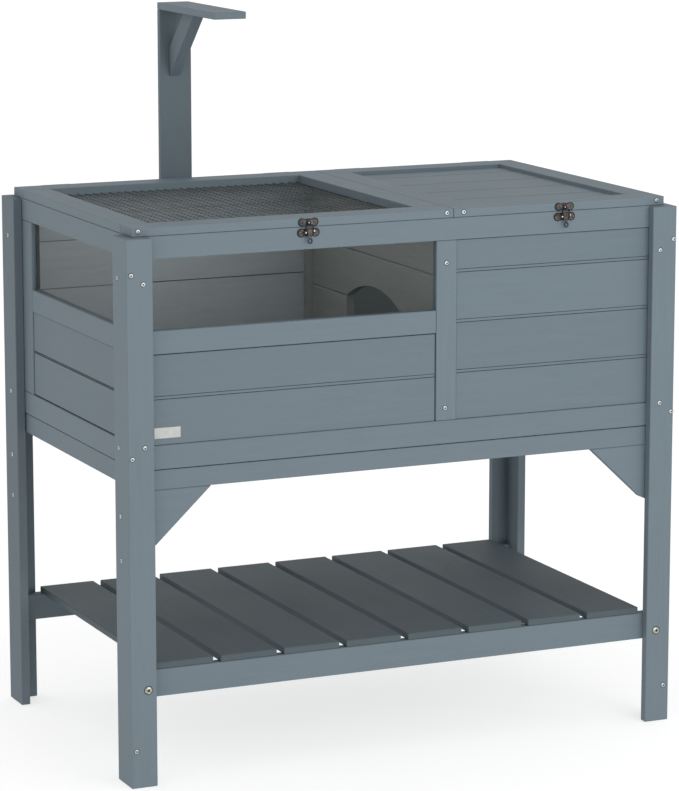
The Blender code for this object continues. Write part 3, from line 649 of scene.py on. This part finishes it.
# ------------------------------------------------------------------ fasteners
def screw_mesh(name, r, h, turn):
    """A countersunk pan-style head with a cross recess cut into its crown."""
    segs = 24
    bm = bmesh.new()
    rings = []
    profile = [(1.0, -0.25), (1.0, 0.05), (0.93, 0.42), (0.74, 0.74), (0.48, 0.92), (0.0, 1.0)]
    for rr, hh in profile[:-1]:
        rings.append([bm.verts.new((r * rr * math.cos(2 * math.pi * k / segs),
                                    r * rr * math.sin(2 * math.pi * k / segs), h * hh))
                      for k in range(segs)])
    top = bm.verts.new((0, 0, h))
    for i in range(len(rings) - 1):
        for k in range(segs):
            bm.faces.new((rings[i][k], rings[i][(k + 1) % segs],
                          rings[i + 1][(k + 1) % segs], rings[i + 1][k]))
    for k in range(segs):
        bm.faces.new((rings[-1][k], rings[-1][(k + 1) % segs], top))
    bm.faces.new(list(reversed(rings[0])))
    me = bpy.data.meshes.new(name + "_head")
    bm.to_mesh(me)
    bm.free()
    head = bpy.data.objects.new(name + "_head", me)
    bpy.context.scene.collection.objects.link(head)
    cutters = []
    for k in range(2):
        bm = bmesh.new()
        ln, wd, dp = r * 1.14, r * 0.34, h * 0.9
        a = turn + k * math.pi / 2
        vs = []
        for (px, py, pz) in ((-ln / 2, -wd / 2, h * 1.3), (ln / 2, -wd / 2, h * 1.3),
                             (ln / 2, wd / 2, h * 1.3), (-ln / 2, wd / 2, h * 1.3),
                             (-ln / 3.4, -wd / 3, h - dp), (ln / 3.4, -wd / 3, h - dp),
                             (ln / 3.4, wd / 3, h - dp), (-ln / 3.4, wd / 3, h - dp)):
            vs.append(bm.verts.new((px * math.cos(a) - py * math.sin(a),
                                    px * math.sin(a) + py * math.cos(a), pz)))
        for f in ((0, 1, 2, 3), (7, 6, 5, 4), (0, 4, 5, 1), (1, 5, 6, 2), (2, 6, 7, 3), (3, 7, 4, 0)):
            bm.faces.new([vs[q] for q in f])
        bmesh.ops.recalc_face_normals(bm, faces=bm.faces)
        cm = bpy.data.meshes.new("cut")
        bm.to_mesh(cm)
        bm.free()
        cut = bpy.data.objects.new("cut", cm)
        bpy.context.scene.collection.objects.link(cut)
        cutters.append(cut)
        m = head.modifiers.new("recess", "BOOLEAN")
        m.operation = "DIFFERENCE"
        m.solver = "EXACT"
        m.object = cut
    bm = bmesh.new()
    well = [[bm.verts.new((q * math.cos(2 * math.pi * k / 18), q * math.sin(2 * math.pi * k / 18), z)) for k in range(18)]
            for q, z in ((r * 0.36, h * 1.3), (r * 0.30, h * 0.12))]
    for k in range(18):
        bm.faces.new((well[0][k], well[0][(k + 1) % 18], well[1][(k + 1) % 18], well[1][k]))
    bm.faces.new(well[0])
    bm.faces.new(list(reversed(well[1])))
    bmesh.ops.recalc_face_normals(bm, faces=bm.faces)
    cm = bpy.data.meshes.new("cut")
    bm.to_mesh(cm)
    bm.free()
    cut = bpy.data.objects.new("cut", cm)
    bpy.context.scene.collection.objects.link(cut)
    cutters.append(cut)
    m = head.modifiers.new("well", "BOOLEAN")
    m.operation = "DIFFERENCE"
    m.solver = "EXACT"
    m.object = cut
    dep = bpy.context.evaluated_depsgraph_get()
    out = bpy.data.meshes.new_from_object(head.evaluated_get(dep))
    bpy.data.objects.remove(head)
    for c in cutters:
        bpy.data.objects.remove(c)

    def crown(q):
        for (ra, ha), (rb, hb) in zip(profile, profile[1:]):
            if rb <= q <= ra and ra > rb:
                return h * (hb + (ha - hb) * (q - rb) / (ra - rb))
        return 0.0
    bm = bmesh.new()
    bm.from_mesh(out)
    # faces in the recess take the dark second material: painted shade
    for f in bm.faces:
        c = f.calc_center_median()
        q = math.hypot(c.x, c.y) / r
        f.material_index = 1 if q < 0.66 and c.z > -0.1 * h and c.z < crown(q) - 0.06 * h else 0
    # the eased edge of the countersink, just proud of the wood, in dark paint: painted shade of its shadow gap
    a, b, up, down = r * 0.97, r * 1.24, 0.00012, -0.0003
    ring = [[bm.verts.new((q * math.cos(2 * math.pi * k / segs), q * math.sin(2 * math.pi * k / segs), z))
             for k in range(segs)] for q, z in ((a, down), (a, up), (b, up * 0.6), (b, down))]
    for i in range(4):
        p, q = ring[i], ring[(i + 1) % 4]
        for k in range(segs):
            f = bm.faces.new((p[k], p[(k + 1) % segs], q[(k + 1) % segs], q[k]))
            f.material_index = 2
    bmesh.ops.recalc_face_normals(bm, faces=bm.faces)
    bm.to_mesh(out)
    bm.free()
    return out


SCREW_VARIANTS = [screw_mesh(f"screw_form_{k}", 0.0038, 0.0011, 0.35 + k * 0.47) for k in range(3)]
BOLT_VARIANTS = [screw_mesh(f"bolt_form_{k}", 0.0062, 0.0019, 0.2 + k * 0.6) for k in range(2)]

OUT = {"-Y": Matrix.Rotation(math.radians(90), 4, "X"),
       "+Y": Matrix.Rotation(math.radians(-90), 4, "X"),
       "-X": Matrix.Rotation(math.radians(-90), 4, "Y"),
       "+X": Matrix.Rotation(math.radians(90), 4, "Y"),
       "+Z": Matrix.Identity(4)}


def fasteners(name, body, items, mat, forms):
    """One object of many heads: items are (x, y, z, facing)."""
    bm = bmesh.new()
    for i, (x, y, z, facing) in enumerate(items):
        part = bmesh.new()
        part.from_mesh(forms[(i * 7 + 3) % len(forms)])
        bmesh.ops.transform(part, matrix=Matrix.Translation((x, y, z)) @ OUT[facing], verts=part.verts)
        tmp = bpy.data.meshes.new("tmp")
        part.to_mesh(tmp)
        part.free()
        bm.from_mesh(tmp)
        bpy.data.meshes.remove(tmp)
    me = bpy.data.meshes.new(name)
    bm.to_mesh(me)
    bm.free()
    ob = new_object(name, me, mat[0])
    for extra in mat[1:]:
        me.materials.append(extra)
    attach(ob, body)
    return ob


e = 0.00005
front_left = [(-0.492, 0.846), (-0.4714, 0.8307), (-0.4928, 0.5482), (-0.4711, 0.5652), (-0.4914, 0.0624)]
front_right = [(0.4953, 0.8474), (0.4694, 0.8297), (0.4732, 0.5649), (0.4957, 0.5483), (0.4899, 0.0626)]
side_l = [(-0.263, 0.8373), (-0.262, 0.5604), (-0.2664, 0.4481), (-0.268, 0.3744)]
side_lr = [(0.2739, 0.8374), (0.2722, 0.5625), (0.2714, 0.4491), (0.2705, 0.3759)]
heads = []
heads += [(x, -HY - e, z, "-Y") for x, z in front_left + front_right]
heads += [(x, HY + e, z, "+Y") for x, z in front_left + front_right]
heads += [(-HX - e, y, z, "-X") for y, z in side_l + side_lr]
heads += [(HX + e, y, z, "+X") for y, z in side_l + side_lr]
heads += [(0.073, -BY - e, 0.8298, "-Y"), (0.0713, -BY - e, 0.5852, "-Y")]
fasteners("house_screws", "house", heads, screw_set, SCREW_VARIANTS)
lid_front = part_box("left_lid_frame")[0][1] - e
fasteners("left_lid_screws", "left_lid", [(-0.4732, lid_front, 0.9134, "-Y"), (0.0734, lid_front, 0.9134, "-Y")],
          screw_set, SCREW_VARIANTS)
fasteners("right_lid_screws", "right_lid", [(0.1042, lid_front, 0.9134, "-Y"), (0.470, lid_front, 0.9134, "-Y")],
          screw_set, SCREW_VARIANTS)
HINGE_SCREW = [screw_mesh(f"hinge_screw_{k}", 0.0028, 0.0009, 0.3 + k * 0.6) for k in range(2)]
leaf_y = BY + 0.0013
fasteners("hinge_screws", "house",
          [(x + dx, leaf_y - 0.0001, z, "+Y") for x in (-0.4050, 0.0150, 0.1550, 0.4150)
           for dx, z in ((-0.0170, 0.8990), (0.0, 0.8850), (0.0170, 0.8990))], screw_set, HINGE_SCREW)
bolts = [(-0.4697, -HY - e, 0.1634, "-Y"), (0.4737, -HY - e, 0.1629, "-Y"),
         (-0.4697, HY + e, 0.1634, "+Y"), (0.4737, HY + e, 0.1629, "+Y")]
fasteners("shelf_bolts", "house", bolts, bolt_set, BOLT_VARIANTS)


# ------------------------------------------------------------------ latches
def lobed_outline(cx, cz, lobes, waist, steps=64):
    """An outline (x, z): the union of round lobes on one line, joined by a waist."""
    x0 = min(c - r for c, r in lobes)
    x1 = max(c + r for c, r in lobes)
    first, last = lobes[0][0], lobes[-1][0]
    up = []
    for i in range(steps + 1):
        a = math.pi * i / steps
        x = (x0 + x1) / 2 - (x1 - x0) / 2 * math.cos(a)
        h = 0.0
        for c, r in lobes:
            if abs(x - c) < r:
                h = max(h, math.sqrt(r * r - (x - c) ** 2))
        if first <= x <= last:
            h = max(h, waist)
        up.append((x, h))
    pts = [(cx + x, cz + h) for x, h in up]
    pts += [(cx + x, cz - h) for x, h in reversed(up[1:-1])]
    return pts


def plate(name, outline, y_back, thick, rim, body, replaces=()):
    """A pressed plate facing -Y with a raised rolled rim and a slightly dished middle."""
    bm = bmesh.new()
    cx = sum(p[0] for p in outline) / len(outline)
    cz = sum(p[1] for p in outline) / len(outline)
    n = len(outline)

    def inset(p, k):
        # move towards the plate's middle line
        dx = 0.0
        w = max(0.0, 1.0 - k / max(1e-6, abs(p[1] - cz)))
        half = max(abs(q[0] - cx) for q in outline)
        dx = (p[0] - cx) * (1 - k / half)
        return (cx + dx, cz + (p[1] - cz) * w)

    layers = [(0.0, 0.0), (0.0, thick * 0.7), (rim * 0.35, thick), (rim * 0.9, thick), (rim * 1.4, thick * 0.72)]
    rings = []
    for k, d in layers:
        rings.append([bm.verts.new((inset(p, k)[0], y_back - d, inset(p, k)[1])) for p in outline])
    for a in range(len(rings) - 1):
        for i in range(n):
            j = (i + 1) % n
            f = bm.faces.new((rings[a][i], rings[a][j], rings[a + 1][j], rings[a + 1][i]))
            f.material_index = 1 if a < 3 else 0
    bm.faces.new(rings[0])
    bm.faces.new(list(reversed(rings[-1])))
    bmesh.ops.remove_doubles(bm, verts=bm.verts, dist=1e-6)
    bmesh.ops.recalc_face_normals(bm, faces=bm.faces)
    me = bpy.data.meshes.new(name)
    bm.to_mesh(me)
    bm.free()
    return me


def lathe(bm, profile, origin, direction, segs=20):
    """Revolves (radius, along) about direction through origin; closed where the radius is 0."""
    d = Vector(direction).normalized()
    u = d.orthogonal().normalized()
    w = d.cross(u)
    o = Vector(origin)
    rings = []
    for r, h in profile:
        if r < 1e-7:
            rings.append([bm.verts.new(o + d * h)])
        else:
            rings.append([bm.verts.new(o + d * h + r * (math.cos(2 * math.pi * k / segs) * u +
                                                        math.sin(2 * math.pi * k / segs) * w))
                          for k in range(segs)])
    for a, b in zip(rings, rings[1:]):
        for k in range(segs):
            j = (k + 1) % segs
            if len(a) == 1 and len(b) == 1:
                continue
            if len(a) == 1:
                bm.faces.new((a[0], b[j], b[k]))
            elif len(b) == 1:
                bm.faces.new((a[k], a[j], b[0]))
            else:
                bm.faces.new((a[k], a[j], b[j], b[k]))
    return rings


def loop_tube(bm, pts, r, sides=10):
    """A closed ring of round wire."""
    n = len(pts)
    rings = []
    centre = sum((Vector(p) for p in pts), Vector()) / n
    normal = Vector((0, 0, 0))
    for i in range(n):
        normal += (Vector(pts[i]) - centre).cross(Vector(pts[(i + 1) % n]) - centre)
    normal.normalize()
    for i in range(n):
        t = (Vector(pts[(i + 1) % n]) - Vector(pts[i - 1])).normalized()
        u = t.cross(normal).normalized()
        rings.append([bm.verts.new(Vector(pts[i]) + r * (math.cos(2 * math.pi * k / sides) * u +
                                                         math.sin(2 * math.pi * k / sides) * normal))
                      for k in range(sides)])
    for i in range(n):
        a, b = rings[i], rings[(i + 1) % n]
        for k in range(sides):
            j = (k + 1) % sides
            bm.faces.new((a[k], a[j], b[j], b[k]))


def mesh_from(name, build, mat, smooth_angle=None):
    bm = bmesh.new()
    build(bm)
    bmesh.ops.recalc_face_normals(bm, faces=bm.faces)
    me = bpy.data.meshes.new(name)
    bm.to_mesh(me)
    bm.free()
    ob = new_object(name, me, mat)
    if smooth_angle:
        me.set_sharp_from_angle(angle=math.radians(smooth_angle))
        for p in me.polygons:
            p.use_smooth = True
    return ob


PLATE_SCREW = [screw_mesh("plate_screw", 0.0025, 0.0009, 0.5)]


def latch(side, x, lid_body):
    face, lid_face = -BY, -0.2885
    # keeper on the lid: lobed plate, two screws, round-headed hook
    cz = 0.9124
    me = plate(f"{side}_keeper_plate", lobed_outline(x, cz, [(-0.0112, 0.0068), (0.0, 0.0060), (0.0112, 0.0068)], 0.0052),
               lid_face, 0.0012, 0.0017, lid_body)
    ob = new_object(f"{side}_keeper_plate", me, bronze)
    me.materials.append(bronze_dark_and_painted_shade)
    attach(ob, lid_body)
    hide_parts(f"{side}_latch_keeper")
    ob = mesh_from(f"{side}_keeper_hook", lambda bm: lathe(
        bm, [(0.0, -0.0002), (0.0026, -0.0002), (0.0026, 0.0002), (0.0018, 0.0008), (0.0017, 0.0018),
             (0.0022, 0.0022), (0.0033, 0.0024), (0.0036, 0.0028), (0.0033, 0.0033), (0.0022, 0.0036),
             (0.0015, 0.0034), (0.0012, 0.0030), (0.0, 0.0029)],
        (x, lid_face - 0.0010, 0.9118), (0, -1, 0), 28), bronze_dark_and_painted_shade, 40)
    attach(ob, lid_body)
    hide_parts(f"{side}_latch_keeper")
    ob = mesh_from(f"{side}_keeper_rivet", lambda bm: lathe(
        bm, [(0.0, 0.0), (0.0011, 0.0), (0.0011, 0.0004), (0.0007, 0.0007), (0.0, 0.0008)],
        (x, lid_face - 0.0038, 0.9118), (0, -1, 0), 18), pin_metal_painted_glint, 50)
    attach(ob, lid_body)
    fasteners(f"{side}_keeper_screws", lid_body,
              [(x - 0.0113, lid_face - 0.0008, cz, "-Y"), (x + 0.0113, lid_face - 0.0008, cz, "-Y")],
              plate_set, PLATE_SCREW)
    # base on the rail: lobed plate with ears, pin and two screws
    bz = LATCH_BASE_Z
    me = plate(f"{side}_base_plate", lobed_outline(x, bz, [(-0.0127, 0.0072), (0.0, 0.0064), (0.0127, 0.0072)], 0.0060),
               face - 0.0002, 0.0012, 0.0018, "house")
    ob = new_object(f"{side}_base_plate", me, bronze)
    me.materials.append(bronze_dark_and_painted_shade)
    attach(ob, "house")
    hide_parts(f"{side}_latch_base")

    def ears(bm):
        for s in (-1, 1):
            c = x + s * 0.0045
            prof = []
            for k in range(13):
                a = -math.pi / 2 + math.pi * k / 12
                prof.append((face - LEVER_OUT - 0.0020 * math.cos(a), LEVER_Z + 0.0020 * math.sin(a)))
            prof = [(face - 0.0006, LEVER_Z - 0.0030)] + prof + [(face - 0.0006, LEVER_Z + 0.0026)]
            a = [bm.verts.new((c - 0.0005, y, z)) for y, z in prof]
            b = [bm.verts.new((c + 0.0005, y, z)) for y, z in prof]
            for i in range(len(prof)):
                j = (i + 1) % len(prof)
                bm.faces.new((a[i], a[j], b[j], b[i]))
            bm.faces.new(a)
            bm.faces.new(list(reversed(b)))
    ob = mesh_from(f"{side}_base_ears", ears, bronze, 40)
    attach(ob, "house")
    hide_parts(f"{side}_latch_base")
    ob = mesh_from(f"{side}_base_pin", lambda bm: lathe(
        bm, [(0.0, -0.0054), (0.0010, -0.0054), (0.0012, -0.0052), (0.0012, -0.0050), (0.0009, -0.0050),
             (0.0009, 0.0050), (0.0012, 0.0050), (0.0012, 0.0052), (0.0010, 0.0054), (0.0, 0.0054)],
        (x, face - LEVER_OUT, LEVER_Z), (1, 0, 0), 16), pin_metal_painted_glint, 40)
    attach(ob, "house")
    fasteners(f"{side}_base_screws", "house",
              [(x - 0.0129, face - 0.0010, bz, "-Y"), (x + 0.0129, face - 0.0010, bz, "-Y")],
              plate_set, PLATE_SCREW)

    # lever: rolled knuckle, tapering blade, ring at the tip
    def lever(bm):
        o = face
        # blade as a swept strip (y, z, half width), rounded edge
        spine = [(o - 0.0060, 0.9018, 0.0034), (o - 0.0072, 0.9004, 0.0036), (o - 0.0070, 0.8980, 0.0036),
                 (o - 0.0066, 0.8950, 0.0034), (o - 0.0066, 0.8920, 0.0033), (o - 0.0068, 0.8896, 0.0029),
                 (o - 0.0072, 0.8876, 0.0024), (o - 0.0076, 0.8860, 0.0020)]
        th = 0.0011
        rings = []
        for i, (y, z, h) in enumerate(spine):
            a = spine[max(i - 1, 0)]
            b = spine[min(i + 1, len(spine) - 1)]
            t = Vector((0, b[0] - a[0], b[1] - a[1])).normalized()
            nrm = Vector((0, t.z, -t.y))
            if nrm.y > 0:
                nrm = -nrm
            c = Vector((x, y, z))
            ring = []
            for sx, sn in ((-1, 0.3), (-0.86, 0.75), (-0.5, 1.0), (0.5, 1.0), (0.86, 0.75), (1, 0.3),
                           (1, -0.6), (-1, -0.6)):
                ring.append(bm.verts.new(c + Vector((sx * h, 0, 0)) + nrm * (sn * th / 2)))
            rings.append(ring)
        for a, b in zip(rings, rings[1:]):
            for k in range(8):
                bm.faces.new((a[k], a[(k + 1) % 8], b[(k + 1) % 8], b[k]))
        bm.faces.new(rings[0])
        bm.faces.new(list(reversed(rings[-1])))
        # knuckle round the pin
        for s in (-1, 1):
            lathe(bm, [(0.0011, -0.0017), (0.0019, -0.0017), (0.0020, -0.0015), (0.0020, 0.0015),
                       (0.0019, 0.0017), (0.0011, 0.0017)],
                  (x + s * 0.0019, o - LEVER_OUT, LEVER_Z), (1, 0, 0), 18)
        # bail seat
        lathe(bm, [(0.0, -0.0036), (0.0016, -0.0036), (0.0018, -0.0033), (0.0018, 0.0033), (0.0016, 0.0036), (0.0, 0.0036)],
              (x, o - BAIL_OUT, BAIL_Z), (1, 0, 0), 18)
    ob = mesh_from(f"{side}_lever", lever, bronze, 45)
    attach(ob, f"{side}_latch_lever")
    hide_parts(f"{side}_latch_lever")

    # the lever's finger loop, a tall ring of dark wire
    def tip(bm):
        pts = []
        for k in range(28):
            a = 2 * math.pi * k / 28
            pts.append((x + 0.0031 * math.cos(a), face - 0.0080 - 0.0004 * math.sin(a), 0.8822 + 0.0038 * math.sin(a)))
        loop_tube(bm, pts, 0.0012, 10)
    ob = mesh_from(f"{side}_lever_loop", tip, bronze_blue, 60)
    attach(ob, f"{side}_latch_lever")
    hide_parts(f"{side}_latch_lever")

    # bail: a bent wire loop that swings on the lever
    def bail(bm):
        y0, y1 = face - BAIL_OUT, face - BAIL_TOP_OUT
        zt = 0.9083
        pts = []
        corner = 0.0024
        for sx, sz, a0 in ((1, 1, 0), (-1, 1, 90), (-1, -1, 180), (1, -1, 270)):
            for k in range(7):
                a = math.radians(a0 + 90 * k / 6)
                px = sx * (BAIL_HALF - corner) + corner * math.cos(a)
                pz = (zt - corner if sz > 0 else BAIL_Z + corner) + corner * math.sin(a)
                pts.append((x + px, y0 + (y1 - y0) * (pz - BAIL_Z) / (BAIL_TOP_Z - BAIL_Z), pz))
        loop_tube(bm, pts, 0.00115, 10)
    ob = mesh_from(f"{side}_bail", bail, bronze_dark_and_painted_shade, 60)
    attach(ob, f"{side}_latch_bail")
    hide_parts(f"{side}_latch_bail")

    # rivets on the bail pivots; their near-white metal is partly painted highlight
    def beads(bm):
        for s, dx, z in ((-1, 0.0068, 0.8962), (1, 0.0080, 0.8984)):
            lathe(bm, [(0.0, -0.0012), (0.0009, -0.0010), (0.0015, -0.0003), (0.0015, 0.0003), (0.0009, 0.0010),
                       (0.0, 0.0012)], (x + s * dx, face - 0.0068, z), (s, -0.5, 0), 16)
    ob = mesh_from(f"{side}_bail_rivets", beads, pin_metal_painted_glint, 50)
    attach(ob, f"{side}_latch_bail")


latch("left", LATCH_X[0], "left_lid")
latch("right", LATCH_X[1], "right_lid")


# ------------------------------------------------------------------ blank label
def label():
    x0, x1, z0, z1 = -0.4480, -0.4027, 0.5750, 0.5925
    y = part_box("front_left_planks")[0][1]
    me = bpy.data.meshes.new("blank_label")
    bm = bmesh.new()
    cols, rows = 12, 6
    grid = []
    for j in range(rows + 1):
        row = []
        for i in range(cols + 1):
            u, w = i / cols, j / rows
            lift = 0.00025 + 0.00025 * max(0.0, (u - 0.8) / 0.2) * max(0.0, (w - 0.6) / 0.4)
            row.append(bm.verts.new((x0 + (x1 - x0) * u, y - lift, z0 + (z1 - z0) * w)))
        grid.append(row)
    for j in range(rows):
        for i in range(cols):
            bm.faces.new((grid[j][i], grid[j][i + 1], grid[j + 1][i + 1], grid[j + 1][i]))
    bm.to_mesh(me)
    bm.free()
    ob = new_object("blank_label", me, label_mat)
    sol = ob.modifiers.new("thick", "SOLIDIFY")
    sol.thickness = 0.0002
    sol.offset = -1.0
    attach(ob, "house")


label()


# ------------------------------------------------------------------ floor and light
def floor_material():
    n = Nodes("studio_floor")
    a = n.noise(n.mapping((1, 1, 1)), 3.0, 3.0, 0.5)
    col = n.mix(n.remap(a, 0.3, 0.7, 0.0, 1.0), (0.40, 0.40, 0.40), (0.42, 0.42, 0.42))
    n.bsdf.inputs["Emission Color"].default_value = (1, 1, 1, 1)
    n.bsdf.inputs["Emission Strength"].default_value = 0.68
    return n.set(base=col, rough=0.9, spec=0.1)


fm = bpy.data.meshes.new("studio_floor")
bm = bmesh.new()
S = 80.0
vs = [bm.verts.new(p) for p in ((-S, -S, -0.0006), (S, -S, -0.0006), (S, S, -0.0006), (-S, S, -0.0006))]
bm.faces.new(vs)
bm.to_mesh(fm)
bm.free()
floor = new_object("studio_floor", fm, floor_material())

world = bpy.data.worlds.new("studio")
world.use_nodes = True
wt = world.node_tree
bg = wt.nodes["Background"]
bg.inputs["Color"].default_value = (1.0, 1.0, 1.0, 1)
sky_coord = wt.nodes.new("ShaderNodeTexCoord")
sky_sep = wt.nodes.new("ShaderNodeSeparateXYZ")
sky_map = wt.nodes.new("ShaderNodeMapRange")
sky_map.inputs["From Min"].default_value = 0.0
sky_map.inputs["From Max"].default_value = 1.0
sky_map.inputs["To Min"].default_value = 1.0
sky_map.inputs["To Max"].default_value = 0.74
wt.links.new(sky_coord.outputs["Generated"], sky_sep.inputs[0])
wt.links.new(sky_sep.outputs["Z"], sky_map.inputs["Value"])
wt.links.new(sky_map.outputs["Result"], bg.inputs["Strength"])
bpy.context.scene.world = world


def area(name, loc, target, size, power, color=(1, 1, 1), size_y=None):
    d = bpy.data.lights.new(name, "AREA")
    d.energy = power
    d.color = color
    d.shape = "RECTANGLE"
    d.size = size
    d.size_y = size_y or size
    o = bpy.data.objects.new(name, d)
    bpy.context.scene.collection.objects.link(o)
    o.location = loc
    v = Vector(target) - Vector(loc)
    o.rotation_euler = v.to_track_quat("-Z", "Y").to_euler()
    return o


den = area("den_fill", (0.29, 0.0, 0.895), (0.29, 0.0, 0.5), 0.30, 0.19, (0.94, 0.98, 1.0), 0.40)
den.visible_camera = False
den.visible_glossy = False
area("key_front", (0.9, -3.3, 1.35), (0.0, -0.2, 0.72), 2.2, 36.0, (0.975, 0.99, 1.0))
